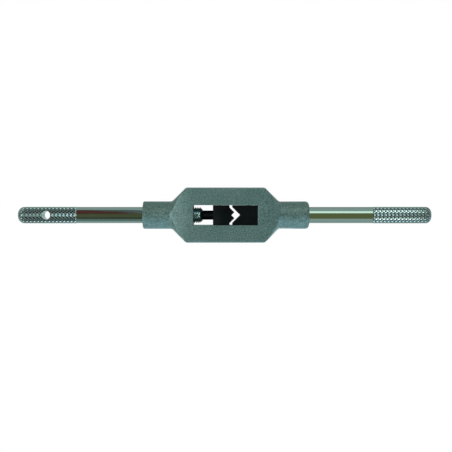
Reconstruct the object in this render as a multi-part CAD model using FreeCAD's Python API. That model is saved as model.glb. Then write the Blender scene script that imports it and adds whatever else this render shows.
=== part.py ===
import FreeCAD, Part
import math
import os

# Adjustable tap wrench for square-shanked taps M4 to M12, in millimetres.
# X runs along the two handles, Y across the body, and Z is the axis of the tap.
# The origin is the middle of the body, on the axis of the handles.

V = FreeCAD.Vector
X_AXIS = V(1, 0, 0)
Y_AXIS = V(0, 1, 0)
Z_AXIS = V(0, 0, 1)

# Die-cast body: a block with eight sides in plan, and a round boss at each end.
BODY_HALF_WIDTH = 18.87
BODY_HALF_THICKNESS = 11.2
CORNER_REACH = 45.7             # |x| + |y| on the four 45 degree sides
WALL_DRAFT = math.radians(4.0)
FACE_FLAT_HALF_LENGTH = 19.0    # the broad faces are flat this far from the middle
FACE_CROWN_RADIUS = 90.0        # and then curve down towards the bosses
END_CONE_REACH = 43.4           # the block's ends are cones about X: |x| = reach - slope * r
END_CONE_SLOPE = 0.75
BODY_EDGE_ROUND = 0.9
TIP_HALF_WIDTH = 1.0            # blunt point where two 45 degree sides meet, inside the boss

SPINDLE_BOSS_END = 55.85
SPINDLE_BOSS_RADIUS = 9.35
SPINDLE_BOSS_CHAMFER = 0.7
HANDLE_BOSS_END = 56.7
HANDLE_BOSS_RADIUS = 9.35
HANDLE_BOSS_ROOT_RADIUS = 9.2
HANDLE_BOSS_ROUND = 2.4
BOSS_OVERLAP_X = 24.0           # each boss is carried this far into the block

WINDOW_HALF_LENGTH = 21.75
WINDOW_HALF_WIDTH = 6.75
WINDOW_CHAMFER = 0.15
EJECTOR_MARK_X = 18.1
EJECTOR_MARK_Y = 11.4
EJECTOR_MARK_RADIUS = 2.65
EJECTOR_MARK_DEPTH = 0.1

# Handles: two turned bars with knurled grips.
BAR_RADIUS = 5.5
KNURL_RADIUS = 5.65
KNURL_LENGTH = 39.9
SPINDLE_TIP = -141.1
SPINDLE_TIP_ROUND = 4.5
HANDLE_TIP = 139.95
HANDLE_TIP_ROUND = 3.8
TOMMY_HOLE_X = -121.3
TOMMY_HOLE_RADIUS = 2.9
HANDLE_SEAT = 25.0              # inner end of the fixed handle, inside the body
BAR_CHAMFER = 0.6

# Right-hand M11 x 1.5 thread that moves the jaw, cut on the full diameter of the bar.
PITCH = 1.5
THREAD_CREST_RADIUS = 5.45
THREAD_ROOT_RADIUS = 4.58
THREAD_CREST_WIDTH = 0.25
FLANK_ANGLE = math.radians(30.0)
THREAD_PLAY = 0.08              # gap between the two threads, square to the flanks
THREAD_DATUM = -45.0            # both threads are cut from this place along X, so they mesh
THREAD_LENGTH = 36.0
SHANK_DEPTH = 12.95             # plain part of the spindle inside its boss
SHANK_BORE_DEPTH = 15.15
SHANK_PLAY = 0.1
UNDERCUT_LENGTH = 2.0
SPINDLE_END = -15.45
SPINDLE_END_CHAMFER = 1.75
SPINDLE_END_RADIUS = 3.6

# Jaws, flush with the body but for a small step.
JAW_HALF_THICKNESS = 10.8
JAW_SIDE_PLAY = 0.05
JAW_EDGE = 0.2
MOVING_JAW_BACK = -8.36
MOVING_JAW_SHOULDER = 2.8
MOVING_JAW_NOSE = 6.04
MOVING_JAW_NOSE_HALF_WIDTH = 2.0
FIXED_JAW_LIP = 4.67
FIXED_JAW_NOTCH_HALF_WIDTH = 5.4

# Stem of the moving jaw, held in the end of the spindle by two pins in a groove.
STEM_RADIUS = 3.15
STEM_PLAY = 0.08
STEM_END = -30.0
STEM_GROOVE_X = -26.0
STEM_GROOVE_RADIUS = 2.35
STEM_GROOVE_LENGTH = 1.3
STEM_PIN_RADIUS = 0.6
STEM_PIN_OFFSET = 3.0
STEM_PIN_HALF_LENGTH = 1.8

# Dowel pins that hold the fixed jaw, one from each long edge of the body.
JAW_PIN_X = 16.0
JAW_PIN_RADIUS = 1.5
JAW_PIN_OUTER_END = 18.2
JAW_PIN_INNER_END = 3.0
PIN_CHAMFER = 0.3
PRESSED_GAP = 0.02              # air left in each pressed joint

SHANK_END = SHANK_DEPTH - SPINDLE_BOSS_END
SHANK_BORE_END = SHANK_BORE_DEPTH - SPINDLE_BOSS_END
FIXED_JAW_NOTCH = FIXED_JAW_LIP + FIXED_JAW_NOTCH_HALF_WIDTH


def face_of(points):
    """Flat face inside a closed outline of corner points."""
    return Part.Face(Part.makePolygon(points + points[:1]))


def turned(outline):
    """Solid turned about X from (x, radius) points that start and end on the axis."""
    points = [V(x, radius, 0) for x, radius in outline]
    return face_of(points).revolve(V(0, 0, 0), X_AXIS, 360)


def bar_along_x(radius, start, end):
    return Part.makeCylinder(radius, end - start, V(start, 0, 0), X_AXIS)


def edges_where(shape, wanted):
    """Edges whose middle point passes the test."""
    return [edge for edge in shape.Edges if wanted(edge.CenterOfMass)]


def octagon(inset, height):
    """Plan outline of the body, moved inwards by inset, at one height."""
    half_width = BODY_HALF_WIDTH - inset
    reach = CORNER_REACH - inset * math.sqrt(2)
    side = reach - half_width
    quarter = [(side, half_width), (reach - TIP_HALF_WIDTH, TIP_HALF_WIDTH)]
    corners = quarter + [(x, -y) for x, y in reversed(quarter)]
    corners += [(-x, -y) for x, y in corners]
    points = [V(x, y, height) for x, y in corners]
    return Part.makePolygon(points + points[:1])


def drafted_block():
    """The eight-sided block, widest at its mid-plane, where the two dies part."""
    inset = BODY_HALF_THICKNESS * math.tan(WALL_DRAFT)
    middle = octagon(0.0, 0.0)
    upper = Part.makeLoft([middle, octagon(inset, BODY_HALF_THICKNESS)], True, True)
    lower = Part.makeLoft([middle, octagon(inset, -BODY_HALF_THICKNESS)], True, True)
    return upper.fuse(lower).removeSplitter()


def crowned_slab():
    """Slab whose broad faces are flat in the middle and curve down to both ends."""
    far = HANDLE_BOSS_END
    flat = FACE_FLAT_HALF_LENGTH
    turn = math.asin((far - flat) / FACE_CROWN_RADIUS)

    def crown_point(angle):
        drop = FACE_CROWN_RADIUS * (1 - math.cos(angle))
        return V(flat + FACE_CROWN_RADIUS * math.sin(angle), 0, BODY_HALF_THICKNESS - drop)

    start, half_way, end = (crown_point(turn * part) for part in (0.0, 0.5, 1.0))

    def reflected(point, side, top):
        return V(side * point.x, -2 * BODY_HALF_WIDTH, top * point.z)

    edges = []
    for top in (1, -1):
        a, b = (reflected(start, side, top) for side in (-1, 1))
        edges.append(Part.makeLine(a, b))
        for side in (-1, 1):
            arc = [reflected(point, side, top) for point in (start, half_way, end)]
            edges.append(Part.Arc(*arc).toShape())
    for side in (-1, 1):
        edges.append(Part.makeLine(reflected(end, side, 1), reflected(end, side, -1)))
    outline = Part.Wire(Part.__sortEdges__(edges))
    return Part.Face(outline).extrude(V(0, 4 * BODY_HALF_WIDTH, 0))


def end_cones():
    """Double cone about X that trims the block's ends round the bosses."""
    rim = 1.5 * BODY_HALF_WIDTH
    rim_x = END_CONE_REACH - END_CONE_SLOPE * rim
    return turned([(-END_CONE_REACH, 0), (-rim_x, rim), (rim_x, rim), (END_CONE_REACH, 0)])


def rounded_block():
    """The block with its broad-face edges rounded and its ends trimmed round the bosses."""
    block = drafted_block().common(crowned_slab()).Solids[0]
    lowest = 0.7 * BODY_HALF_THICKNESS
    face_edges = edges_where(block, lambda p: abs(p.z) > lowest and abs(p.y) > 1.2 * TIP_HALF_WIDTH)
    return block.makeFillet(BODY_EDGE_ROUND, face_edges).common(end_cones())


def spindle_boss():
    chamfer = SPINDLE_BOSS_CHAMFER
    return turned([
        (-SPINDLE_BOSS_END, 0),
        (-SPINDLE_BOSS_END, SPINDLE_BOSS_RADIUS - chamfer),
        (chamfer - SPINDLE_BOSS_END, SPINDLE_BOSS_RADIUS),
        (-BOSS_OVERLAP_X, SPINDLE_BOSS_RADIUS),
        (-BOSS_OVERLAP_X, 0),
    ])


def handle_boss():
    boss = turned([
        (BOSS_OVERLAP_X, 0),
        (BOSS_OVERLAP_X, HANDLE_BOSS_ROOT_RADIUS),
        (HANDLE_BOSS_END, HANDLE_BOSS_RADIUS),
        (HANDLE_BOSS_END, 0),
    ])
    rim = edges_where(boss, lambda p: abs(p.x - HANDLE_BOSS_END) < 0.01)
    return boss.makeFillet(HANDLE_BOSS_ROUND, rim[:1])


def window():
    """The opening that holds the jaws, with a small chamfer at both faces."""
    length = 2 * WINDOW_HALF_LENGTH
    width = 2 * WINDOW_HALF_WIDTH
    depth = 2 * BODY_HALF_THICKNESS + 2
    corner = V(-WINDOW_HALF_LENGTH, -WINDOW_HALF_WIDTH, -depth / 2)
    opening = Part.makeBox(length, width, depth, corner)
    for side in (1, -1):
        face_z = side * BODY_HALF_THICKNESS
        inner = window_outline(0.0, face_z - side * WINDOW_CHAMFER)
        outer = window_outline(2 * WINDOW_CHAMFER, face_z + side * WINDOW_CHAMFER)
        opening = opening.fuse(Part.makeLoft([inner, outer], True, True))
    return opening


def window_outline(growth, height):
    half_length = WINDOW_HALF_LENGTH + growth
    half_width = WINDOW_HALF_WIDTH + growth
    corners = [(1, 1), (-1, 1), (-1, -1), (1, -1)]
    points = [V(sx * half_length, sy * half_width, height) for sx, sy in corners]
    return Part.makePolygon(points + points[:1])


def thread_groove(play):
    """Helical groove along X. Play moves its flanks and its root off the mating thread."""
    root = THREAD_ROOT_RADIUS + play
    crest = THREAD_CREST_RADIUS + play
    run_out = 0.15
    narrowing = play * (1 - math.sin(FLANK_ANGLE)) / math.cos(FLANK_ANGLE)
    mouth_half = (PITCH - THREAD_CREST_WIDTH) / 2 - narrowing
    root_half = mouth_half - (crest - root) * math.tan(FLANK_ANGLE)
    outer_half = mouth_half + run_out * math.tan(FLANK_ANGLE)
    profile = Part.makePolygon([
        V(root, 0, -root_half),
        V(crest + run_out, 0, -outer_half),
        V(crest + run_out, 0, outer_half),
        V(root, 0, root_half),
        V(root, 0, -root_half),
    ])
    helix = Part.makeLongHelix(PITCH, THREAD_LENGTH, root, 0, False)
    groove = Part.Wire(helix.Edges).makePipeShell([profile], True, True)
    groove.rotate(V(0, 0, 0), Y_AXIS, 90)
    groove.translate(V(THREAD_DATUM, 0, 0))
    return groove


def tapped_hole():
    """Counterbore for the plain shank, then the thread through to the window."""
    shank_bore = bar_along_x(BAR_RADIUS + SHANK_PLAY, -SPINDLE_BOSS_END - 1, SHANK_BORE_END)
    crest = THREAD_CREST_RADIUS + THREAD_PLAY
    plug = bar_along_x(crest, SHANK_BORE_END - 1, -WINDOW_HALF_LENGTH + 1)
    return plug.cut(thread_groove(THREAD_PLAY)).fuse(shank_bore)


def make_body():
    body = rounded_block().fuse(spindle_boss()).fuse(handle_boss()).removeSplitter()
    body = body.cut(window())
    body = body.cut(bar_along_x(BAR_RADIUS + PRESSED_GAP, HANDLE_SEAT, HANDLE_BOSS_END + 1))
    pin_reach = BODY_HALF_WIDTH + 1 - WINDOW_HALF_WIDTH
    for side in (1, -1):
        start = V(JAW_PIN_X, side * WINDOW_HALF_WIDTH, 0)
        hole = Part.makeCylinder(JAW_PIN_RADIUS + PRESSED_GAP, pin_reach, start, side * Y_AXIS)
        body = body.cut(hole)
    mark_foot = V(EJECTOR_MARK_X, EJECTOR_MARK_Y, BODY_HALF_THICKNESS - EJECTOR_MARK_DEPTH)
    body = body.cut(Part.makeCylinder(EJECTOR_MARK_RADIUS, 1, mark_foot, Z_AXIS))
    return body.cut(tapped_hole())


def rounded_bar(tip, tip_round, knurl_end, inner_points):
    """Turned bar with a knurled grip, its tip rounded over."""
    bar = turned([(tip, 0), (tip, KNURL_RADIUS), (knurl_end, KNURL_RADIUS)] + inner_points)
    rim = edges_where(bar, lambda p: abs(p.x - tip) < 0.01)
    return bar.makeFillet(tip_round, rim[:1])


def make_clamp_spindle():
    """Knurled grip, plain bar, thread and the bored end that holds the jaw's stem."""
    grip_end = SPINDLE_TIP + KNURL_LENGTH
    thread_start = SHANK_END + UNDERCUT_LENGTH
    neck_radius = THREAD_ROOT_RADIUS - 0.1
    bar = rounded_bar(SPINDLE_TIP, SPINDLE_TIP_ROUND, grip_end, [
        (grip_end, BAR_RADIUS),
        (SHANK_END - BAR_CHAMFER, BAR_RADIUS),
        (SHANK_END, BAR_RADIUS - BAR_CHAMFER),
        (SHANK_END, neck_radius),
        (thread_start, neck_radius),
        (thread_start, 0),
    ])
    screw = turned([
        (thread_start, 0),
        (thread_start, neck_radius),
        (thread_start + THREAD_CREST_RADIUS - neck_radius, THREAD_CREST_RADIUS),
        (SPINDLE_END - SPINDLE_END_CHAMFER, THREAD_CREST_RADIUS),
        (SPINDLE_END, SPINDLE_END_RADIUS),
        (SPINDLE_END, 0),
    ])
    spindle = bar.fuse(screw.cut(thread_groove(0.0)))
    spindle = spindle.cut(bar_along_x(STEM_RADIUS + STEM_PLAY, STEM_END, SPINDLE_END + 1))
    tommy_foot = V(TOMMY_HOLE_X, 0, -2 * BAR_RADIUS)
    spindle = spindle.cut(Part.makeCylinder(TOMMY_HOLE_RADIUS, 4 * BAR_RADIUS, tommy_foot, Z_AXIS))
    for side in (1, -1):
        spindle = spindle.cut(stem_pin_shape(side, STEM_PIN_RADIUS + PRESSED_GAP, BAR_RADIUS))
    return spindle


def stem_pin_shape(side, radius, half_length):
    foot = V(STEM_GROOVE_X, -half_length, side * STEM_PIN_OFFSET)
    return Part.makeCylinder(radius, 2 * half_length, foot, Y_AXIS)


def jaw_pin_shape(side, radius):
    length = JAW_PIN_OUTER_END - JAW_PIN_INNER_END
    return Part.makeCylinder(radius, length, V(JAW_PIN_X, side * JAW_PIN_INNER_END, 0), side * Y_AXIS)


def chamfered_pin(pin):
    """A dowel pin with the rims of both its ends chamfered."""
    ends = (pin.BoundBox.YMin, pin.BoundBox.YMax)
    rims = edges_where(pin, lambda p: min(abs(p.y - end) for end in ends) < 0.01)
    return pin.makeChamfer(PIN_CHAMFER, rims)


def jaw_block(plan):
    """Jaw plate with the given plan outline and its broad-face edges broken."""
    points = [V(x, y, -JAW_HALF_THICKNESS) for x, y in plan]
    plate = face_of(points).extrude(V(0, 0, 2 * JAW_HALF_THICKNESS))
    rims = edges_where(plate, lambda p: abs(abs(p.z) - JAW_HALF_THICKNESS) < 0.01)
    return plate.makeChamfer(JAW_EDGE, rims)


def make_moving_jaw():
    """Vee-nosed jaw with the round stem that the spindle turns on."""
    half_width = WINDOW_HALF_WIDTH - JAW_SIDE_PLAY
    nose_half = MOVING_JAW_NOSE_HALF_WIDTH
    shoulder_half = MOVING_JAW_NOSE - MOVING_JAW_SHOULDER + nose_half
    upper = [
        (MOVING_JAW_BACK, half_width),
        (MOVING_JAW_SHOULDER, half_width),
        (MOVING_JAW_SHOULDER, shoulder_half),
        (MOVING_JAW_NOSE, nose_half),
    ]
    lower = [(x, -y) for x, y in reversed(upper)]
    jaw = jaw_block(upper + [(MOVING_JAW_NOSE - nose_half, 0)] + lower)
    end_gap = 0.02
    stem = bar_along_x(STEM_RADIUS, STEM_END + end_gap, MOVING_JAW_BACK + 1)
    groove_start = STEM_GROOVE_X - STEM_GROOVE_LENGTH / 2
    groove_end = STEM_GROOVE_X + STEM_GROOVE_LENGTH / 2
    groove = bar_along_x(STEM_RADIUS + 1, groove_start, groove_end)
    groove = groove.cut(bar_along_x(STEM_GROOVE_RADIUS, groove_start, groove_end))
    return jaw.fuse(stem.cut(groove))


def make_fixed_jaw():
    """Jaw with the wide vee notch, pinned against the far end of the window."""
    half_width = WINDOW_HALF_WIDTH - JAW_SIDE_PLAY
    upper = [
        (WINDOW_HALF_LENGTH, half_width),
        (FIXED_JAW_LIP, half_width),
        (FIXED_JAW_LIP, FIXED_JAW_NOTCH_HALF_WIDTH),
    ]
    lower = [(x, -y) for x, y in reversed(upper)]
    jaw = jaw_block(upper + [(FIXED_JAW_NOTCH, 0)] + lower)
    for side in (1, -1):
        jaw = jaw.cut(jaw_pin_shape(side, JAW_PIN_RADIUS + PRESSED_GAP))
    return jaw


def make_fixed_handle():
    """Plain bar with a knurled grip, pressed into its boss."""
    grip_start = HANDLE_TIP - KNURL_LENGTH
    return rounded_bar(HANDLE_TIP, HANDLE_TIP_ROUND, grip_start, [
        (grip_start, BAR_RADIUS),
        (HANDLE_SEAT + BAR_CHAMFER, BAR_RADIUS),
        (HANDLE_SEAT, BAR_RADIUS - BAR_CHAMFER),
        (HANDLE_SEAT, 0),
    ])


def make_parts():
    parts = {
        "body": make_body(),
        "clamp_spindle": make_clamp_spindle(),
        "moving_jaw": make_moving_jaw(),
        "fixed_jaw": make_fixed_jaw(),
        "fixed_handle": make_fixed_handle(),
    }
    for name, side in (("upper", 1), ("lower", -1)):
        pin = stem_pin_shape(side, STEM_PIN_RADIUS, STEM_PIN_HALF_LENGTH)
        parts["stem_pin_" + name] = chamfered_pin(pin)
    for name, side in (("left", 1), ("right", -1)):
        parts["jaw_pin_" + name] = chamfered_pin(jaw_pin_shape(side, JAW_PIN_RADIUS))
    return parts


os.makedirs("parts", exist_ok=True)
for node, shape in make_parts().items():
    solids = shape.Solids
    assert len(solids) == 1 and shape.isValid(), node
    solids[0].exportStep("parts/" + node + ".step")
    print(node, round(solids[0].Volume, 1), "cubic millimetres")
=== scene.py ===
"""Looks of an adjustable tap wrench: cast body, knurled handles and two vee jaws.

Shapes are worked out in millimetres in the frame's own axes and written to meshes in metres.
X runs along the handles, Y across the body, and Z is the axis of the tap.
"""
import math

import bpy
import numpy as np
import openvdb
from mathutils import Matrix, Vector


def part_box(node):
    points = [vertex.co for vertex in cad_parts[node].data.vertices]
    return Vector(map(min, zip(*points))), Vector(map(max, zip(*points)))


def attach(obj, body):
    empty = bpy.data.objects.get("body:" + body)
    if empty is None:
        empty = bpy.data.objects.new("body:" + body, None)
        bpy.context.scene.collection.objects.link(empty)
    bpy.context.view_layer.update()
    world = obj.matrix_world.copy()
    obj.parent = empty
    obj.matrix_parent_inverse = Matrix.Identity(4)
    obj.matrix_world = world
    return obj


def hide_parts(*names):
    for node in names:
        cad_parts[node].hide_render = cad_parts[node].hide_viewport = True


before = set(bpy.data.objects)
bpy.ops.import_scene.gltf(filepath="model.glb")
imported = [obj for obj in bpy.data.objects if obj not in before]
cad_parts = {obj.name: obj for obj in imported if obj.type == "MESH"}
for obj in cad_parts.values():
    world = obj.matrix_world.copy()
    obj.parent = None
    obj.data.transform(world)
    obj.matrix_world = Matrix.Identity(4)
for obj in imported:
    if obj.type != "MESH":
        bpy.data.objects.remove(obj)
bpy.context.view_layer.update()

MM = 0.001


def box_of(node):
    """Lowest and highest corner of a CAD node, in millimetres."""
    low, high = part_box(node)
    return np.array(low) / MM, np.array(high) / MM


BODY_LOW, BODY_HIGH = box_of("body")
SPINDLE_LOW, SPINDLE_HIGH = box_of("clamp_spindle")
HANDLE_LOW, HANDLE_HIGH = box_of("fixed_handle")
FIXED_JAW_LOW, FIXED_JAW_HIGH = box_of("fixed_jaw")
MOVING_JAW_LOW, MOVING_JAW_HIGH = box_of("moving_jaw")
JAW_PIN_LOW, JAW_PIN_HIGH = box_of("jaw_pin_left")

# Casting
BODY_HALF_WIDTH = BODY_HIGH[1]
BODY_HALF_THICKNESS = BODY_HIGH[2]
CORNER_REACH = 45.7             # |x| + |y| on the four 45 degree sides
WALL_DRAFT = math.radians(4.0)
FACE_FLAT_HALF_LENGTH = 19.0    # the broad faces are flat this far from the middle
FACE_CROWN_RADIUS = 90.0        # and then curve down towards the bosses
CROWN_REACH = 0.9 * FACE_CROWN_RADIUS
END_CONE_REACH = 43.4           # the block's ends are cones about X: |x| = reach - slope * r
END_CONE_SLOPE = 0.75
OUTLINE_ROUND = 0.7
FACE_ROUND = 0.6
CONE_ROUND = 0.6
SPINDLE_BOSS_END = -BODY_LOW[0]
SPINDLE_BOSS_RADIUS = 9.35
SPINDLE_BOSS_ROUND = 0.7
HANDLE_BOSS_END = BODY_HIGH[0]
HANDLE_BOSS_RADIUS = 9.35
HANDLE_BOSS_ROOT_RADIUS = 9.2
HANDLE_BOSS_ROUND = 2.4
BOSS_FOOT_ROUND = 1.2
JAW_SIDE_PLAY = 0.05
WINDOW_HALF_LENGTH = FIXED_JAW_HIGH[0]
WINDOW_HALF_WIDTH = FIXED_JAW_HIGH[1] + JAW_SIDE_PLAY
BOSS_ROOT_X = WINDOW_HALF_LENGTH + 2    # each boss is carried this far into the block
WINDOW_CHAMFER = 0.15
BORE_CHAMFER = 0.15
CUTTER_OVERSHOOT = 1.0          # cutting tools end this far outside what they cut
EJECTOR_MARK = (18.1, 11.4)
EJECTOR_MARK_RADIUS = 2.65
EJECTOR_MARK_DEPTH = 0.1
PIT = (21.3, -12.0)
PIT_RADIUS = 0.55
PIT_DEPTH = 0.12
JAW_PIN_X = (JAW_PIN_LOW[0] + JAW_PIN_HIGH[0]) / 2
CASTING_STEP = 0.45             # grid on which the casting is meshed
MACHINED_DEPTH = 0.03           # surface deeper than this inside the casting was cut
CREASE_DEGREES = 25
JAW_CREASE_DEGREES = 35

# Turned bars
BAR_RADIUS = 5.5
KNURL_RADIUS = SPINDLE_HIGH[1]
KNURL_LENGTH = 39.9
KNURL_DEPTH = 0.45
KNURL_STARTS = 16
KNURL_AXIAL_PERIOD = 2.52
KNURL_STEPS = 4
KNURL_FLAT = 0.75
KNURL_RUN_OUT = 0.35
BAR_SEGMENTS = 2 * KNURL_STARTS * KNURL_STEPS
ROUND_SEGMENTS = 64
FLAT_QUAD = 0.004               # four-sided faces may be this far out of flat
SPINDLE_TIP_ROUND = 4.5
HANDLE_TIP_ROUND = 3.8
BAR_CHAMFER = 0.6
BORE_PLAY = 0.1
TOMMY_HOLE_X = -121.3
TOMMY_HOLE_RADIUS = 2.9
TOMMY_HOLE_CHAMFER = 0.35
TOMMY_CUTTER_REACH = 8.0
TOMMY_CUTTER_FLARE = 3.0

# Thread of the spindle, M11 x 1.5
PITCH = 1.5
THREAD_CREST_RADIUS = 5.45
THREAD_ROOT_RADIUS = 4.58
THREAD_CREST_WIDTH = 0.25
FLANK_SLOPE = math.tan(math.radians(30.0))
THREAD_DATUM = -45.0
THREAD_STEPS = 12
SHANK_END = 12.95 - SPINDLE_BOSS_END
SHANK_BORE_END = 15.15 - SPINDLE_BOSS_END
UNDERCUT_LENGTH = 2.0
SPINDLE_END = SPINDLE_HIGH[0]
SPINDLE_END_CHAMFER = 1.75
SPINDLE_END_RADIUS = 3.6

# Jaws
JAW_HALF_THICKNESS = FIXED_JAW_HIGH[2]
JAW_HALF_WIDTH = FIXED_JAW_HIGH[1]
JAW_EDGE_ROUND = 0.22
MOVING_JAW_BACK = -8.36
MOVING_JAW_SHOULDER = 2.8
MOVING_JAW_NOSE = MOVING_JAW_HIGH[0]
MOVING_JAW_NOSE_HALF_WIDTH = 2.0
FIXED_JAW_LIP = FIXED_JAW_LOW[0]
FIXED_JAW_NOTCH_HALF_WIDTH = 5.4
STEM_RADIUS = 3.15
STEM_CHAMFER = 0.4
STEM_PLAY = 0.08
STEM_END = -30.0
STEM_GROOVE_X = -26.0
STEM_GROOVE_RADIUS = 2.35
STEM_GROOVE_LENGTH = 1.3

# Stage
FLOOR_GAP = 0.02                # the ground lies this far under the wrench
CARD_GAP = 0.01                 # and the cards on it this far
GROUND_HALF_SIZE = 3000
BACKDROP_RADIUS = 4000


# ---------------------------------------------------------------- meshes

def add_mesh(name, points, faces, smooth=True):
    """New object from points in millimetres."""
    mesh = bpy.data.meshes.new(name)
    mesh.from_pydata((np.asarray(points, float) * MM).tolist(), [], faces)
    mesh.validate()
    mesh.polygons.foreach_set("use_smooth", np.full(len(mesh.polygons), smooth))
    thing = bpy.data.objects.new(name, mesh)
    bpy.context.scene.collection.objects.link(thing)
    return thing


def apply_modifiers(thing):
    """Replaces the object's mesh by the result of its modifiers."""
    graph = bpy.context.evaluated_depsgraph_get()
    result = bpy.data.meshes.new_from_object(thing.evaluated_get(graph))
    thing.modifiers.clear()
    thing.data = result


def cut_or_join(thing, tool, operation):
    """Boolean of two closed meshes, after which the tool is gone."""
    boolean = thing.modifiers.new(operation.lower(), "BOOLEAN")
    boolean.operation = operation
    boolean.solver = "EXACT"
    boolean.object = tool
    apply_modifiers(thing)
    bpy.data.objects.remove(tool)


def sharpen(thing, degrees):
    """Smooth shading, except over edges sharper than the angle."""
    thing.data.set_sharp_from_angle(angle=math.radians(degrees))


def vertices_of(thing):
    """The object's points in millimetres, one row each."""
    points = np.empty(len(thing.data.vertices) * 3)
    thing.data.vertices.foreach_get("co", points)
    return points.reshape(-1, 3) / MM


def store(thing, attribute, values):
    """Saves one number per vertex, for the material to read."""
    layer = thing.data.attributes.new(attribute, "FLOAT", "POINT")
    layer.data.foreach_set("value", np.asarray(values, np.float32))


def loft(name, rings):
    """Closed solid through rings of matching points, each ring a closed outline."""
    count = len(rings[0])
    points = [point for ring in rings for point in ring]
    faces = [tuple(reversed(range(count))), tuple(range(len(points) - count, len(points)))]
    for start in range(0, len(points) - count, count):
        for i in range(count):
            j = (i + 1) % count
            faces.append((start + i, start + j, start + j + count, start + i + count))
    return add_mesh(name, points, faces, smooth=False)


# ---------------------------------------------------------------- casting

def rounded_inside(a, b, radius):
    """Distance to the overlap of two shapes, with its edge rounded."""
    corner = np.hypot(np.maximum(a + radius, 0), np.maximum(b + radius, 0))
    return np.minimum(np.maximum(a, b), -radius) + corner


def rounded_outside(a, b, radius):
    """Distance to the union of two shapes, with a fillet where they meet."""
    corner = np.hypot(np.maximum(radius - a, 0), np.maximum(radius - b, 0))
    return np.maximum(np.minimum(a, b), radius) - corner


def block_distance(x, y, z):
    """The eight-sided block with crowned faces and coned ends."""
    along = np.abs(x)
    across = np.abs(y)
    up = np.abs(z)
    inset = up * math.tan(WALL_DRAFT)
    long_walls = (across - BODY_HALF_WIDTH + inset) * math.cos(WALL_DRAFT)
    corner_walls = ((along + across - CORNER_REACH) / math.sqrt(2) + inset) * math.cos(WALL_DRAFT)
    cone_height = END_CONE_REACH - END_CONE_SLOPE * np.hypot(y, z)
    cones = (along - cone_height) / math.hypot(1, END_CONE_SLOPE)
    past_flat = np.clip(along - FACE_FLAT_HALF_LENGTH, 0, CROWN_REACH)
    crown = FACE_CROWN_RADIUS - np.sqrt(FACE_CROWN_RADIUS ** 2 - past_flat ** 2)
    faces = up - BODY_HALF_THICKNESS + crown
    outline = rounded_inside(long_walls, corner_walls, OUTLINE_ROUND)
    outline = rounded_inside(outline, cones, CONE_ROUND)
    return rounded_inside(outline, faces, FACE_ROUND)


def bosses_distance(x, y, z):
    """The two round bosses that the handles pass through."""
    radius = np.hypot(y, z)
    taper = (HANDLE_BOSS_RADIUS - HANDLE_BOSS_ROOT_RADIUS) / (HANDLE_BOSS_END - WINDOW_HALF_LENGTH)
    handle_wall = radius - HANDLE_BOSS_RADIUS + taper * (HANDLE_BOSS_END - x)
    spindle_boss = rounded_inside(
        radius - SPINDLE_BOSS_RADIUS, -x - SPINDLE_BOSS_END, SPINDLE_BOSS_ROUND)
    handle_boss = rounded_inside(handle_wall, x - HANDLE_BOSS_END, HANDLE_BOSS_ROUND)
    spindle_boss = np.maximum(spindle_boss, x + BOSS_ROOT_X)
    handle_boss = np.maximum(handle_boss, BOSS_ROOT_X - x)
    return np.minimum(spindle_boss, handle_boss)


def casting_distance(x, y, z):
    """Signed distance from the outer surface of the casting, negative inside."""
    shape = rounded_outside(block_distance(x, y, z), bosses_distance(x, y, z), BOSS_FOOT_ROUND)
    mark = np.hypot(x - EJECTOR_MARK[0], y - EJECTOR_MARK[1]) - EJECTOR_MARK_RADIUS
    mark = np.maximum(mark, BODY_HALF_THICKNESS - EJECTOR_MARK_DEPTH - z)
    pit_centre = BODY_HALF_THICKNESS + PIT_RADIUS - PIT_DEPTH
    pit = np.sqrt((x - PIT[0]) ** 2 + (y - PIT[1]) ** 2 + (z - pit_centre) ** 2) - PIT_RADIUS
    return np.maximum(np.maximum(shape, -mark), -pit)


def gradient_of(distance, points, step):
    """Slope of a distance function at each point, by central differences."""
    slope = np.empty_like(points)
    for axis in range(3):
        offset = np.zeros(3)
        offset[axis] = step
        ahead = distance(*(points + offset).T)
        behind = distance(*(points - offset).T)
        slope[:, axis] = (ahead - behind) / (2 * step)
    return slope


def curvature_of(distance, points, step):
    """Bend of the surface at each point: above 0 on outer edges, below 0 in corners."""
    total = -6 * distance(*points.T)
    for axis in range(3):
        offset = np.zeros(3)
        offset[axis] = step
        total += distance(*(points + offset).T) + distance(*(points - offset).T)
    return total / step ** 2


def make_casting():
    """Mesh of the casting, its points pulled exactly onto the rounded surface."""
    margin = 3 * CASTING_STEP
    low = BODY_LOW - margin
    axes = [np.arange(low[i], BODY_HIGH[i] + margin, CASTING_STEP) for i in range(3)]
    x, y, z = np.meshgrid(*axes, indexing="ij")
    grid = openvdb.FloatGrid()
    grid.copyFromArray(casting_distance(x, y, z).astype(np.float32))
    points, quads = grid.convertToQuads(isovalue=0.0)
    points = low + points.astype(float) * CASTING_STEP
    longest_pull = 0.1
    for _ in range(4):
        slope = gradient_of(casting_distance, points, 0.01)
        steepness = np.maximum((slope ** 2).sum(axis=1), 0.25)
        away = np.clip(casting_distance(*points.T), -longest_pull, longest_pull)
        points -= slope * (away / steepness)[:, None]
    body = add_mesh("body_casting", points, quads.tolist())
    cut_or_join(body, make_openings(), "DIFFERENCE")
    crease_openings(body)
    store(body, "edge", curvature_of(casting_distance, vertices_of(body), 0.25))
    return body


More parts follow.
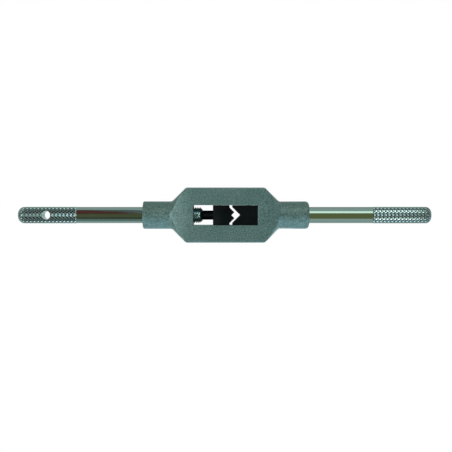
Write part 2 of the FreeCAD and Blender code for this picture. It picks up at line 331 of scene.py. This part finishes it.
def make_window_cutter():
    """The window, flared outside both faces so that it leaves a chamfered rim."""
    flare = CUTTER_OVERSHOOT + WINDOW_CHAMFER
    top = BODY_HALF_THICKNESS
    levels = (
        (-top - CUTTER_OVERSHOOT, flare),
        (WINDOW_CHAMFER - top, 0),
        (top - WINDOW_CHAMFER, 0),
        (top + CUTTER_OVERSHOOT, flare),
    )
    rings = []
    for z, growth in levels:
        half_length = WINDOW_HALF_LENGTH + growth
        half_width = WINDOW_HALF_WIDTH + growth
        signs = ((1, 1), (-1, 1), (-1, -1), (1, -1))
        rings.append([(sx * half_length, sy * half_width, z) for sx, sy in signs])
    return loft("openings", rings)


def make_spindle_bore():
    """Counterbore for the plain shank, then a bore round the thread, open into the window."""
    thread_bore = THREAD_CREST_RADIUS + BORE_PLAY
    shank_bore = BAR_RADIUS + BORE_PLAY
    mouth = -SPINDLE_BOSS_END - CUTTER_OVERSHOOT
    window_end = -WINDOW_HALF_LENGTH + CUTTER_OVERSHOOT
    return plain_lathe("spindle_bore", [
        (mouth, 0),
        (mouth, shank_bore + CUTTER_OVERSHOOT + BORE_CHAMFER),
        (BORE_CHAMFER - SPINDLE_BOSS_END, shank_bore),
        (SHANK_BORE_END, shank_bore),
        (SHANK_BORE_END, thread_bore),
        (-WINDOW_HALF_LENGTH - 2 * BORE_CHAMFER, thread_bore),
        (window_end, thread_bore + CUTTER_OVERSHOOT),
        (window_end, 0),
    ])


def make_handle_bore():
    """Bore that the fixed handle is pressed into."""
    mouth = HANDLE_BOSS_END + CUTTER_OVERSHOOT
    return plain_lathe("handle_bore", [
        (HANDLE_LOW[0], 0),
        (HANDLE_LOW[0], BAR_RADIUS),
        (HANDLE_BOSS_END - BORE_CHAMFER, BAR_RADIUS),
        (mouth, BAR_RADIUS + CUTTER_OVERSHOOT + BORE_CHAMFER),
        (mouth, 0),
    ])


def make_pin_hole(side):
    """Hole across the casting for the dowel pin on one side of the fixed jaw."""
    radius = JAW_PIN_HIGH[2] + BORE_PLAY / 2
    reach = 2 * BODY_HALF_WIDTH
    hole = plain_lathe("pin_hole", [(0, 0), (0, radius), (reach, radius), (reach, 0)])
    hole.rotation_euler = (0, 0, side * math.radians(90))
    hole.location = (JAW_PIN_X * MM, 0, 0)
    bpy.context.view_layer.update()
    return hole


def make_openings():
    """Everything that is cut out of the casting: the window, both bores and the pin holes."""
    openings = make_window_cutter()
    for bore in (make_spindle_bore(), make_handle_bore()):
        cut_or_join(openings, bore, "UNION")
    for side in (1, -1):
        cut_or_join(openings, make_pin_hole(side), "UNION")
    return openings


def crease_openings(body):
    """Sharp edges round the machined openings, and smooth shading on the cast surface."""
    mesh = body.data
    count = len(mesh.polygons)
    centre = np.empty(count * 3)
    normal = np.empty(count * 3)
    mesh.polygons.foreach_get("center", centre)
    mesh.polygons.foreach_get("normal", normal)
    normal = normal.reshape(-1, 3)
    sides = np.empty(count, np.int32)
    mesh.polygons.foreach_get("loop_total", sides)
    edge_of_loop = np.empty(len(mesh.loops), np.int32)
    mesh.loops.foreach_get("edge_index", edge_of_loop)
    polygon_of_loop = np.repeat(np.arange(count), sides)
    first, second = polygon_of_loop[np.argsort(edge_of_loop, kind="stable")].reshape(-1, 2).T
    machined = casting_distance(*(centre.reshape(-1, 3) / MM).T) < -MACHINED_DEPTH
    bend = (normal[first] * normal[second]).sum(axis=1)
    both = machined[first] & machined[second]
    sharp = (machined[first] != machined[second]) | (both & (bend < math.cos(math.radians(CREASE_DEGREES))))
    layer = mesh.attributes.new("sharp_edge", "BOOLEAN", "EDGE")
    layer.data.foreach_set("value", sharp)
    mesh.polygons.foreach_set("use_smooth", np.full(count, True))


# ---------------------------------------------------------------- turned bars

def lathe(name, profile, radius_at, segments):
    """Closed turned surface about X, from (x, radius) pairs that start and end on the axis."""
    angles = np.arange(segments) * (2 * math.pi / segments)
    rings = profile[1:-1]
    x = np.array([p[0] for p in rings])[:, None] + 0 * angles
    base = np.array([p[1] for p in rings])[:, None] + 0 * angles
    radius = radius_at(x, base, angles[None, :] + 0 * x)
    points = np.stack([x, radius * np.cos(angles), radius * np.sin(angles)], axis=-1).reshape(-1, 3)
    points = np.vstack([points, [profile[0][0], 0, 0], [profile[-1][0], 0, 0]])
    half_step = math.pi / segments
    middle = radius_at((x[:-1] + x[1:]) / 2, (base[:-1] + base[1:]) / 2, angles + half_step + 0 * x[:-1])
    turned_on = np.roll(radius, -1, axis=1)
    along_ac = (radius[:-1] + turned_on[1:]) / 2
    along_bd = (turned_on[:-1] + radius[1:]) / 2
    flat = np.abs(along_ac - along_bd) < FLAT_QUAD
    fold_ac = np.abs(middle - along_ac) < np.abs(middle - along_bd)
    faces = []
    for ring in range(len(rings) - 1):
        for i in range(segments):
            j = (i + 1) % segments
            a, b = ring * segments + i, ring * segments + j
            c, d = b + segments, a + segments
            if flat[ring, i]:
                faces.append((a, b, c, d))
            elif fold_ac[ring, i]:
                faces += [(a, b, c), (a, c, d)]
            else:
                faces += [(a, b, d), (b, c, d)]
    first, last = len(points) - 2, len(points) - 1
    end = (len(rings) - 1) * segments
    for i in range(segments):
        j = (i + 1) % segments
        faces.append((first, j, i))
        faces.append((last, end + i, end + j))
    return add_mesh(name, points, faces)


def plain_lathe(name, profile):
    """Turned shape whose radius is just its profile's."""
    return lathe(name, profile, lambda x, base, angle: base, ROUND_SEGMENTS)


def dome(tip, round_radius, inward):
    """Profile points from the middle of a bar's tip to where the grip's own rows take over."""
    flat = KNURL_RADIUS - round_radius
    quarter_steps = 12
    crowding = 0.9
    points = [(tip, 0.0)]
    for step in range(4):
        angle = math.radians(90 * (step / quarter_steps) ** crowding)
        drop = round_radius * (1 - math.cos(angle))
        points.append((tip + inward * drop, flat + round_radius * math.sin(angle)))
    return points


def dome_radius(depth, round_radius):
    """Radius of a rounded tip at some depth from its end."""
    inside = np.clip(round_radius - depth, 0, round_radius)
    return KNURL_RADIUS - round_radius + np.sqrt(round_radius ** 2 - inside ** 2)


def ridge(phase):
    """0 at each groove and 1 half way between grooves."""
    return 1 - np.abs(2 * (phase - np.floor(phase)) - 1)


def knurl_height(x, angle, start):
    """Height of the diamond knurl, from 0 in the grooves to 1 on the flat crests."""
    turn = KNURL_STARTS * angle / (2 * math.pi)
    travel = (x - start) / KNURL_AXIAL_PERIOD
    crests = np.minimum(ridge(turn + travel), ridge(turn - travel))
    return np.minimum(crests / KNURL_FLAT, 1.0)


def grip_radius(x, base, angle, tip, round_radius, inner_end):
    """Radius of a bar that is knurled from its tip to inner_end."""
    height = knurl_height(x, angle, inner_end)
    knurled = KNURL_RADIUS - KNURL_DEPTH * (1 - height)
    fade = np.clip((np.abs(x - tip) - KNURL_LENGTH + KNURL_RUN_OUT) / (2 * KNURL_RUN_OUT), 0, 1)
    knurled = knurled + fade * (BAR_RADIUS - knurled)
    on_grip = np.abs(x - tip) <= KNURL_LENGTH + KNURL_RUN_OUT
    knurled = np.minimum(knurled, dome_radius(np.abs(x - tip), round_radius))
    return np.where(on_grip, np.minimum(knurled, np.maximum(base, 0)), base)


def grip_profile(tip, round_radius, inward):
    """Profile of the grip: the rounded tip, then rows that line up with the knurl's diamonds."""
    row = KNURL_AXIAL_PERIOD / (2 * KNURL_STEPS)
    inner_end = tip + inward * KNURL_LENGTH
    points = dome(tip, round_radius, inward)
    count = int((KNURL_LENGTH - abs(points[-1][0] - tip)) / row)
    for index in range(count, 0, -1):
        points.append((inner_end - inward * index * row, KNURL_RADIUS))
    # The rows just past the knurl keep its slopes from bending the shading of the plain bar.
    for radius, offsets in ((KNURL_RADIUS, (0, 0.5)), (BAR_RADIUS, (1.01, 1.3, 2))):
        points += [(inner_end + inward * offset * KNURL_RUN_OUT, radius) for offset in offsets]
    return points


def thread_radius(x, angle):
    """Radius of the right-hand thread before its ends are trimmed."""
    phase = (x - THREAD_DATUM) / PITCH - angle / (2 * math.pi)
    from_groove = np.abs(phase - np.round(phase)) * PITCH
    depth = THREAD_CREST_RADIUS - THREAD_ROOT_RADIUS
    root_half = (PITCH - THREAD_CREST_WIDTH) / 2 - depth * FLANK_SLOPE
    flank = THREAD_ROOT_RADIUS + (from_groove - root_half) / FLANK_SLOPE
    return np.clip(flank, THREAD_ROOT_RADIUS, THREAD_CREST_RADIUS)


def mark_grip(thing, tip, inner_end):
    """Saves the knurl's height, which the material uses to paint shade into the grooves, 1 on the plain
    bar.
    """
    x, y, z = vertices_of(thing).T
    on_grip = np.abs(x - tip) < KNURL_LENGTH + KNURL_RUN_OUT
    height = np.where(on_grip, knurl_height(x, np.arctan2(z, y), inner_end), 1.0)
    store(thing, "crest", height)


def make_spindle():
    """Knurled grip, plain bar, threaded end with the bore for the jaw's stem."""
    tip = SPINDLE_LOW[0]
    grip_end = tip + KNURL_LENGTH
    thread_start = SHANK_END + UNDERCUT_LENGTH
    chamfer_start = SPINDLE_END - SPINDLE_END_CHAMFER
    profile = grip_profile(tip, SPINDLE_TIP_ROUND, 1)
    profile += [
        (SHANK_END - BAR_CHAMFER, BAR_RADIUS),
        (SHANK_END, BAR_RADIUS - BAR_CHAMFER),
        (SHANK_END, THREAD_ROOT_RADIUS),
        (thread_start, THREAD_ROOT_RADIUS),
    ]
    rows = round((SPINDLE_END - thread_start) / PITCH * THREAD_STEPS)
    for row in range(1, rows + 1):
        x = thread_start + (SPINDLE_END - thread_start) * row / rows
        lead_in = THREAD_ROOT_RADIUS + (x - thread_start)
        slope = (THREAD_CREST_RADIUS - SPINDLE_END_RADIUS) / SPINDLE_END_CHAMFER
        lead_out = SPINDLE_END_RADIUS + (SPINDLE_END - x) * slope
        profile.append((x, min(THREAD_CREST_RADIUS, lead_in, lead_out)))
    bore = STEM_RADIUS + STEM_PLAY
    profile += [(SPINDLE_END, bore), (STEM_END, bore), (STEM_END, 0.0)]

    def radius_at(x, base, angle):
        radius = grip_radius(x, base, angle, tip, SPINDLE_TIP_ROUND, grip_end)
        threaded = (x > thread_start) & (base > bore + 0.1)
        return np.where(threaded, np.minimum(base, thread_radius(x, angle)), radius)

    spindle = lathe("spindle_bar", profile, radius_at, BAR_SEGMENTS)
    hole = plain_lathe("hole", [
        (-TOMMY_CUTTER_REACH, 0),
        (-TOMMY_CUTTER_REACH, TOMMY_HOLE_RADIUS + TOMMY_CUTTER_FLARE),
        (-BAR_RADIUS, TOMMY_HOLE_RADIUS + TOMMY_HOLE_CHAMFER),
        (TOMMY_HOLE_CHAMFER - BAR_RADIUS, TOMMY_HOLE_RADIUS),
        (BAR_RADIUS - TOMMY_HOLE_CHAMFER, TOMMY_HOLE_RADIUS),
        (BAR_RADIUS, TOMMY_HOLE_RADIUS + TOMMY_HOLE_CHAMFER),
        (TOMMY_CUTTER_REACH, TOMMY_HOLE_RADIUS + TOMMY_CUTTER_FLARE),
        (TOMMY_CUTTER_REACH, 0),
    ])
    hole.rotation_euler = (0, math.radians(90), 0)
    hole.location = (TOMMY_HOLE_X * MM, 0, 0)
    bpy.context.view_layer.update()
    cut_or_join(spindle, hole, "DIFFERENCE")
    mark_grip(spindle, tip, grip_end)
    sharpen(spindle, CREASE_DEGREES)
    soften_thread(spindle, thread_start, chamfer_start)
    return spindle


def soften_thread(spindle, start, end):
    """Smooth shading between two places along X, so that the thread's crests look rounded."""
    mesh = spindle.data
    x = vertices_of(spindle)[:, 0]
    ends = np.empty(2 * len(mesh.edges), np.int32)
    mesh.edges.foreach_get("vertices", ends)
    inside = ((x > start) & (x < end))[ends.reshape(-1, 2)].all(axis=1)
    sharp = np.empty(len(mesh.edges), bool)
    layer = mesh.attributes["sharp_edge"].data
    layer.foreach_get("value", sharp)
    layer.foreach_set("value", sharp & ~inside)


def make_handle():
    """Knurled grip and plain bar, pressed into the casting."""
    tip = HANDLE_HIGH[0]
    seat = HANDLE_LOW[0]
    profile = grip_profile(tip, HANDLE_TIP_ROUND, -1)
    profile += [(seat + BAR_CHAMFER, BAR_RADIUS), (seat, BAR_RADIUS - BAR_CHAMFER), (seat, 0.0)]

    def radius_at(x, base, angle):
        return grip_radius(x, base, angle, tip, HANDLE_TIP_ROUND, tip - KNURL_LENGTH)

    handle = lathe("handle_bar", profile[::-1], radius_at, BAR_SEGMENTS)
    mark_grip(handle, tip, tip - KNURL_LENGTH)
    sharpen(handle, CREASE_DEGREES)
    return handle


# ---------------------------------------------------------------- jaws

def make_plate(name, upper_outline, middle=()):
    """Jaw plate from the upper half of its plan outline, with small rounded edges."""
    outline = [(x, -y) for x, y in upper_outline] + list(middle) + list(reversed(upper_outline))
    half = JAW_HALF_THICKNESS
    plate = loft(name, [[(x, y, z) for x, y in outline] for z in (-half, half)])
    bevel = plate.modifiers.new("edges", "BEVEL")
    bevel.width = JAW_EDGE_ROUND * MM
    bevel.segments = 3
    bevel.harden_normals = True
    apply_modifiers(plate)
    return plate


def make_fixed_jaw():
    """Plate with the 90 degree notch, against the right end of the window."""
    return make_plate("fixed_vee_jaw", [
        (FIXED_JAW_HIGH[0], JAW_HALF_WIDTH),
        (FIXED_JAW_LIP, JAW_HALF_WIDTH),
        (FIXED_JAW_LIP, FIXED_JAW_NOTCH_HALF_WIDTH),
    ], [(FIXED_JAW_LIP + FIXED_JAW_NOTCH_HALF_WIDTH, 0)])


def make_moving_jaw():
    """Vee-nosed plate joined to its turned stem."""
    nose_half = MOVING_JAW_NOSE_HALF_WIDTH
    shoulder_half = MOVING_JAW_NOSE - MOVING_JAW_SHOULDER + nose_half
    jaw = make_plate("moving_vee_jaw", [
        (MOVING_JAW_BACK, JAW_HALF_WIDTH),
        (MOVING_JAW_SHOULDER, JAW_HALF_WIDTH),
        (MOVING_JAW_SHOULDER, shoulder_half),
        (MOVING_JAW_NOSE, nose_half),
    ], [(MOVING_JAW_NOSE - nose_half, 0)])
    stem_end = MOVING_JAW_LOW[0]
    groove_start = STEM_GROOVE_X - STEM_GROOVE_LENGTH / 2
    groove_end = STEM_GROOVE_X + STEM_GROOVE_LENGTH / 2
    stem = plain_lathe("stem", [
        (stem_end, 0),
        (stem_end, STEM_RADIUS - STEM_CHAMFER),
        (stem_end + STEM_CHAMFER, STEM_RADIUS),
        (groove_start, STEM_RADIUS),
        (groove_start, STEM_GROOVE_RADIUS),
        (groove_end, STEM_GROOVE_RADIUS),
        (groove_end, STEM_RADIUS),
        (MOVING_JAW_BACK - 0.3, STEM_RADIUS),
        (MOVING_JAW_BACK + 0.1, STEM_RADIUS + STEM_CHAMFER),
        (MOVING_JAW_BACK + 1, STEM_RADIUS + STEM_CHAMFER),
        (MOVING_JAW_BACK + 1, 0),
    ])
    cut_or_join(jaw, stem, "UNION")
    sharpen(jaw, JAW_CREASE_DEGREES)
    return jaw


# ---------------------------------------------------------------- materials

class Shader:
    """A material's node tree, with short calls for the nodes used here."""

    def __init__(self, name):
        self.material = bpy.data.materials.new(name)
        self.material.use_nodes = True
        self.tree = self.material.node_tree
        self.surface = self.tree.nodes["Principled BSDF"]
        self.place = self.tree.nodes.new("ShaderNodeTexCoord").outputs["Object"]

    def node(self, kind, inputs, **settings):
        made = self.tree.nodes.new(kind)
        for key, value in settings.items():
            setattr(made, key, value)
        for key, value in inputs.items():
            self.give(made.inputs[key], value)
        return made

    def give(self, socket, value):
        """Links another node's output to the socket, or sets it to a constant."""
        if isinstance(value, bpy.types.NodeSocket):
            self.tree.links.new(value, socket)
        else:
            socket.default_value = value

    def set(self, **inputs):
        """Sets the surface's own inputs, with _ for the spaces in their names."""
        for key, value in inputs.items():
            self.give(self.surface.inputs[key.replace("_", " ")], value)

    def stretched(self, x, y, z):
        """Coordinates in metres, multiplied along each axis."""
        made = self.node("ShaderNodeVectorMath", {0: self.place, 1: (x, y, z)}, operation="MULTIPLY")
        return made.outputs[0]

    def noise(self, scale, detail=3.0, roughness=0.55, place=None):
        inputs = {"Vector": place or self.place, "Scale": scale, "Detail": detail, "Roughness": roughness}
        return self.node("ShaderNodeTexNoise", inputs).outputs["Fac"]

    def remap(self, value, low, high, to_low, to_high):
        inputs = {"Value": value, "From Min": low, "From Max": high, "To Min": to_low, "To Max": to_high}
        return self.node("ShaderNodeMapRange", inputs).outputs["Result"]

    def mix(self, factor, a, b, blend="MIX"):
        """Blend of two colours. Sockets 0, 6 and 7 are the factor and the two colours."""
        made = self.node("ShaderNodeMix", {}, data_type="RGBA", blend_type=blend)
        for index, value in ((0, factor), (6, a), (7, b)):
            self.give(made.inputs[index], value)
        return made.outputs[2]

    def attribute(self, name):
        return self.node("ShaderNodeAttribute", {}, attribute_name=name).outputs["Fac"]

    def bump(self, height, distance, normal=None):
        inputs = {"Height": height, "Distance": distance, "Strength": 1.0}
        if normal is not None:
            inputs["Normal"] = normal
        return self.node("ShaderNodeBump", inputs).outputs["Normal"]


def casting_material():
    """Grey-green blasted zinc: mottled, faintly grainy, paler on its worn edges."""
    s = Shader("blasted_casting")
    blotch = s.noise(90, 4)
    grain = s.noise(1250, 2, 0.6)
    fine = s.noise(3200, 2, 0.6)
    mottle = s.remap(blotch, 0.35, 0.65, 0, 1)
    colour = s.mix(mottle, (0.145, 0.209, 0.182, 1), (0.172, 0.228, 0.211, 1))
    shade = s.remap(grain, 0.3, 0.7, 0.44, 1.56)
    grey = s.node("ShaderNodeCombineColor", {0: shade, 1: shade, 2: shade}).outputs[0]
    colour = s.mix(1.0, colour, grey, "MULTIPLY")
    worn = s.remap(s.attribute("edge"), 0.6, 2.2, 0, 0.55)
    colour = s.mix(worn, colour, (0.20, 0.27, 0.26, 1))
    s.set(Base_Color=colour, Metallic=0.15, Roughness=s.remap(grain, 0.3, 0.7, 0.30, 0.42))
    s.set(Specular_IOR_Level=0.35)
    rough = s.bump(grain, 0.00006)
    s.set(Normal=s.bump(fine, 0.000025, rough))
    return s.material


def steel_material():
    """Bright turned steel with fine rings round the bar, and shade painted darker into the grooves of the
    knurl.
    """
    s = Shader("bright_steel")
    rings = s.noise(1, 2, 0.6, s.stretched(9000, 120, 120))
    smear = s.noise(1, 3, 0.5, s.stretched(60, 240, 240))
    # painted shade: the knurl's grooves get a darker colour than its crests and the plain bar
    crest = s.remap(s.attribute("crest"), 0.0, 0.7, 0, 1)
    colour = s.mix(crest, (0.14, 0.17, 0.17, 1), (0.30, 0.33, 0.315, 1))
    s.set(Base_Color=colour, Metallic=1.0)
    s.set(Roughness=s.remap(smear, 0.3, 0.7, 0.05, 0.10))
    s.set(Normal=s.bump(rings, 0.0000004))
    return s.material


def screw_material():
    """Oiled dark steel of the thread."""
    s = Shader("dark_steel")
    cloud = s.noise(700, 3)
    s.set(Base_Color=(0.62, 0.73, 0.76, 1), Metallic=1.0, Roughness=s.remap(cloud, 0.3, 0.7, 0.14, 0.26))
    s.set(Normal=s.bump(cloud, 0.00001))
    return s.material


def black_material():
    """Black oxide on ground steel."""
    s = Shader("black_oxide")
    scratch = s.noise(1, 3, 0.6, s.stretched(300, 5000, 300))
    cloud = s.noise(260, 3)
    s.set(Base_Color=s.mix(cloud, (0.0015, 0.0020, 0.0021, 1), (0.0035, 0.0042, 0.0044, 1)))
    s.set(Specular_IOR_Level=0.08, Roughness=s.remap(cloud, 0.3, 0.7, 0.42, 0.60))
    s.set(Normal=s.bump(scratch, 0.000004))
    return s.material


def pin_material():
    """Ground dowel pins."""
    s = Shader("pin_steel")
    rings = s.noise(1, 2, 0.6, s.stretched(3000, 3000, 3000))
    s.set(Base_Color=(0.33, 0.34, 0.34, 1), Metallic=1.0, Roughness=s.remap(rings, 0.3, 0.7, 0.25, 0.4))
    s.set(Normal=s.bump(rings, 0.000003))
    return s.material


def paint(thing, *materials):
    """Gives the object these materials and no others."""
    thing.data.materials.clear()
    for material in materials:
        thing.data.materials.append(material)


def paint_thread(spindle, bar, screw):
    """The bar's material up to the end of the plain shank, and the screw's beyond it."""
    paint(spindle, bar, screw)
    centres = np.empty(len(spindle.data.polygons) * 3)
    spindle.data.polygons.foreach_get("center", centres)
    threaded = centres.reshape(-1, 3)[:, 0] / MM > SHANK_END
    spindle.data.polygons.foreach_set("material_index", threaded.astype(np.int32))


# ---------------------------------------------------------------- stage

def glow(name, colour, strength):
    """Plain light-giving surface for the studio."""
    s = Shader(name)
    s.set(Base_Color=(0, 0, 0, 1), Roughness=1.0, Specular_IOR_Level=0.0)
    s.set(Emission_Color=(*colour, 1), Emission_Strength=strength)
    return s.material


def make_ground(name, colour, strength):
    """Flat ground just under the wrench."""
    size = GROUND_HALF_SIZE
    low = BODY_LOW[2] - FLOOR_GAP
    outline = [(-size, -size, low), (size, -size, low), (size, size, low), (-size, size, low)]
    ground = add_mesh(name, outline, [(0, 1, 2, 3)], smooth=False)
    paint(ground, glow(name, colour, strength))
    return ground


def make_backdrop():
    """White floor and dome that only the camera sees, and the dim table that lights the undersides."""
    floor = make_ground("pale_floor", (1, 1, 1), 1.0)
    angles = [math.radians(degrees) for degrees in range(180, -1, -15)]
    half_circle = [(BACKDROP_RADIUS * math.cos(a), BACKDROP_RADIUS * math.sin(a)) for a in angles]
    sky = plain_lathe("backdrop", half_circle)
    paint(sky, glow("backdrop", (1, 1, 1), 1.0))
    for white in (floor, sky):
        white.visible_diffuse = False
        white.visible_glossy = False
        white.visible_shadow = False
    for name, strength, in_gloss in (("mirrored_table", 0.78, True), ("table", 0.20, False)):
        table = make_ground(name, (0.74, 1.0, 0.96), strength)
        table.visible_camera = False
        table.visible_glossy = in_gloss
        table.visible_diffuse = not in_gloss


def make_horizon():
    """Bright curved walls far in front and behind, seen only in reflections."""
    radius = 6.0
    height = 5.5
    for name, middle in (("front_horizon", -90), ("back_horizon", 90)):
        angles = [math.radians(middle + step) for step in range(-32, 33, 8)]
        base = [(radius * math.cos(angle), radius * math.sin(angle)) for angle in angles]
        for (x0, y0), (x1, y1) in zip(base, base[1:]):
            wall = [(x0, y0, 0), (x1, y1, 0), (x1, y1, height), (x0, y0, height)]
            make_card(name, wall, (0.66, 0.87, 0.84))


def overhead(height, outline):
    """A level outline in metres, at a height over the wrench's axis."""
    return [(x, y, height) for x, y in outline]


def level_card(height, x_range, y_range):
    """Outline of a level rectangle in metres."""
    (x0, x1), (y0, y1) = x_range, y_range
    return overhead(height, [(x0, y0), (x1, y0), (x1, y1), (x0, y1)])


def make_card(name, outline, colour):
    """Studio card that is seen only in reflections. Its outline is in metres."""
    card = add_mesh(name, np.array(outline) / MM, [tuple(range(len(outline)))], smooth=False)
    paint(card, glow(name, colour, 1.0))
    card.visible_camera = False
    card.visible_diffuse = False
    card.visible_shadow = False


def make_studio():
    """Cards whose reflections draw the bands in the bars and shade the casting."""
    under = (BODY_LOW[2] - CARD_GAP) * MM
    for name, outline, colour in (
            ("right_olive_card",
             overhead(1.0, [(0.09, -1.33), (0.45, -1.33), (0.40, 0.46), (0.09, 0.46)]),
             (0.26, 0.31, 0.13)),
            ("left_olive_card", level_card(1.0, (-0.42, -0.09), (-0.58, 0.25)), (0.18, 0.20, 0.10)),
            ("left_dark_card",
             overhead(1.02, [(-0.50, -1.62), (0.09, -1.62), (0.09, 0.50), (-0.44, 0.50)]),
             (0.085, 0.13, 0.08)),
            ("right_strip_card",
             overhead(0.99, [(0.08, 0.54), (0.46, 0.54), (0.55, 1.5), (0.08, 1.5)]),
             (1.9, 2.5, 2.1)),
            ("red_card",
             overhead(0.98, [(-0.31, 0.36), (-0.20, 0.40), (-0.178, 0.65), (-0.404, 1.88),
                             (-1.2, 6.0), (-1.35, 6.0), (-0.40, 0.36)]),
             (0.20, 0.07, 0.055)),
            ("left_teal_card",
             overhead(0.98, [(-0.178, 0.65), (-0.404, 1.88), (-1.2, 6.0), (-0.75, 6.0),
                             (-0.20, 1.5), (-0.12, 0.65)]),
             (0.15, 0.245, 0.24)),
            ("left_dim_card",
             [(-0.70, -2.6, 0), (-0.20, -2.6, 0), (-0.20, -2.6, 1.58), (-0.70, -2.6, 1.58)],
             (0.25, 0.39, 0.36)),
            ("rear_shade_card", level_card(under, (-0.15, 0.15), (0.002, 0.015)), (0.16, 0.21, 0.20)),
            ("left_high_card", level_card(0.97, (-1.0, -0.46), (-0.4, 0.36)), (5.0, 6.2, 6.2)),
            ("right_dark_card", level_card(1.0, (0.46, 1.8), (-1.2, 0.9)), (0.03, 0.04, 0.04)),
            ("thread_strip_card", level_card(0.96, (-0.13, 0.05), (0.48, 0.86)), (2.6, 3.1, 3.1)),
            ("thread_blue_card", level_card(0.96, (-0.13, 0.05), (-0.95, -0.64)), (3.6, 4.6, 5.6))):
        make_card(name, outline, colour)
    for name, side_x, side_y, colour in (
            ("front_left_card", -1, -1, (2.5, 3.2, 3.4)),
            ("front_right_card", 1, -1, (2.3, 3.4, 4.3)),
            ("back_left_card", -1, 1, (1.9, 2.5, 2.5)),
            ("back_right_card", 1, 1, (1.1, 1.5, 1.4))):
        upright = ((1.1, 0.6, 0.25), (0.45, 1.1, 0.25), (0.45, 1.1, 0.70), (1.1, 0.6, 0.70))
        make_card(name, [(side_x * x, side_y * y, z) for x, y, z in upright], colour)
    make_card("bounce_card", level_card(under, (0.025, 0.047), (-0.021, -0.008)), (1.5, 1.9, 1.9))


def make_world():
    """Even soft room light, stronger from the sides than from above."""
    world = bpy.data.worlds.new("studio")
    bpy.context.scene.world = world
    world.use_nodes = True
    tree = world.node_tree
    place = tree.nodes.new("ShaderNodeTexCoord").outputs["Generated"]
    split = tree.nodes.new("ShaderNodeSeparateXYZ")
    tree.links.new(place, split.inputs[0])
    ramp = tree.nodes.new("ShaderNodeMapRange")
    tree.links.new(split.outputs["Z"], ramp.inputs["Value"])
    for socket, number in (("From Min", 0), ("From Max", 1), ("To Min", 0.30), ("To Max", 0.60)):
        ramp.inputs[socket].default_value = number
    tree.links.new(ramp.outputs["Result"], tree.nodes["Background"].inputs["Strength"])
    tree.nodes["Background"].inputs["Color"].default_value = (0.76, 1.0, 0.96, 1)


def add_light(name, place, target, size, power, colour):
    """Rectangular soft light that reflections don't show. place and target are in metres."""
    data = bpy.data.lights.new(name, "AREA")
    data.shape = "RECTANGLE"
    data.size, data.size_y = size
    data.energy = power
    data.color = colour
    light = bpy.data.objects.new(name, data)
    light.location = place
    direction = Vector(target) - Vector(place)
    light.rotation_euler = direction.to_track_quat("-Z", "Y").to_euler()
    light.visible_camera = False
    light.visible_glossy = False
    bpy.context.scene.collection.objects.link(light)


def make_camera():
    """Looks straight down the tap axis, with the wrench a little above the middle of the picture."""
    data = bpy.data.cameras.new("camera")
    data.sensor_width = 36
    data.lens = 63.9
    data.shift_y = -0.0449
    camera = bpy.data.objects.new("camera", data)
    camera.location = (0.0004, 0.0064, 0.547)
    bpy.context.scene.collection.objects.link(camera)
    bpy.context.scene.camera = camera


# ---------------------------------------------------------------- build

bpy.context.scene.view_settings.view_transform = "Standard"

STEEL = steel_material()
CASTING = casting_material()
BLACK = black_material()
SCREW = screw_material()
PIN = pin_material()

body = make_casting()
spindle = make_spindle()
handle = make_handle()
fixed_jaw = make_fixed_jaw()
moving_jaw = make_moving_jaw()

for piece, material, rides_on, node, slot in (
        (body, CASTING, "body", "body", "casting"),
        (spindle, STEEL, "clamp_spindle", "clamp_spindle", "bright_steel"),
        (handle, STEEL, "body", "fixed_handle", "bright_steel"),
        (fixed_jaw, BLACK, "body", "fixed_jaw", "black_steel"),
        (moving_jaw, BLACK, "moving_jaw", "moving_jaw", "black_steel")):
    paint(piece, material)
    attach(piece, rides_on)
    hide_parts(node)

for node in ("stem_pin_upper", "stem_pin_lower", "jaw_pin_left", "jaw_pin_right"):
    paint(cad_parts[node], PIN)

make_backdrop()
make_world()
make_horizon()
make_studio()
add_light("window", (0.40, -1.4, 0.45), (0, 0, 0), (2.0, 0.6), 22, (0.45, 0.72, 1.0))
make_camera()
paint_thread(spindle, STEEL, SCREW)
